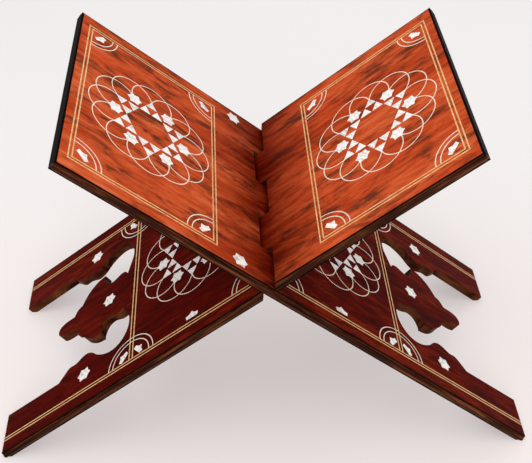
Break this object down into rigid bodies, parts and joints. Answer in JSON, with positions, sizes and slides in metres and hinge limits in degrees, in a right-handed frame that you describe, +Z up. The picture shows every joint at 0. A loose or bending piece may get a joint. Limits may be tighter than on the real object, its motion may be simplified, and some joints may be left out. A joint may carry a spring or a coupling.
{
  "type": "folding book stand",
  "caption": "Folding wooden book stand of two crossed inlaid boards with interlocking hinge fingers, cut-out legs and a carved pendant between them.",
  "frame": {"origin": "on the floor, directly below the hinge axis, halfway across the boards' width", "axes": "+Z up, +Y along the hinge axis towards the rear, -Y is the front, +X to the right"},
  "size_m": [0.5012, 0.25, 0.3394],
  "materials": {
    "mahogany": "gloss",
    "edge_wood": "gloss",
    "black_string": "gloss",
    "border_line": "gloss",
    "wire": "gloss",
    "pearl": "gloss"
  },
  "bodies": {
    "leaf_a": {"board_a": "mahogany", "front_bead_a": "edge_wood", "rear_bead_a": "edge_wood", "edge_strings_a": "black_string", "end_cap_a": "black_string", "border_lines_upper_a": "border_line", "corner_arcs_upper_a": "wire", "rosette_wire_upper_a": "wire", "rosette_pearl_upper_a": "pearl", "corner_pearl_upper_a": "pearl", "border_lines_lower_a": "border_line", "corner_arcs_lower_a": "wire", "rosette_wire_lower_a": "wire", "rosette_pearl_lower_a": "pearl", "corner_pearl_lower_a": "pearl", "leg_stars_a": "pearl", "pendant_star_a": "pearl"},
    "leaf_b": {"board_b": "mahogany", "front_bead_b": "edge_wood", "rear_bead_b": "edge_wood", "edge_strings_b": "black_string", "end_cap_b": "black_string", "border_lines_upper_b": "border_line", "corner_arcs_upper_b": "wire", "rosette_wire_upper_b": "wire", "rosette_pearl_upper_b": "pearl", "corner_pearl_upper_b": "pearl", "border_lines_lower_b": "border_line", "corner_arcs_lower_b": "wire", "rosette_wire_lower_b": "wire", "rosette_pearl_lower_b": "pearl", "corner_pearl_lower_b": "pearl", "leg_stars_b": "pearl", "pendant_star_b": "pearl", "hinge_stars_b": "pearl"}
  },
  "joints": [
    {"name": "fold", "type": "hinge", "parent": "leaf_a", "child": "leaf_b", "pos_m": [0, 0, 0.20027], "axis": [0, 1, 0], "range_deg": [0, 52.5]}
  ]
}
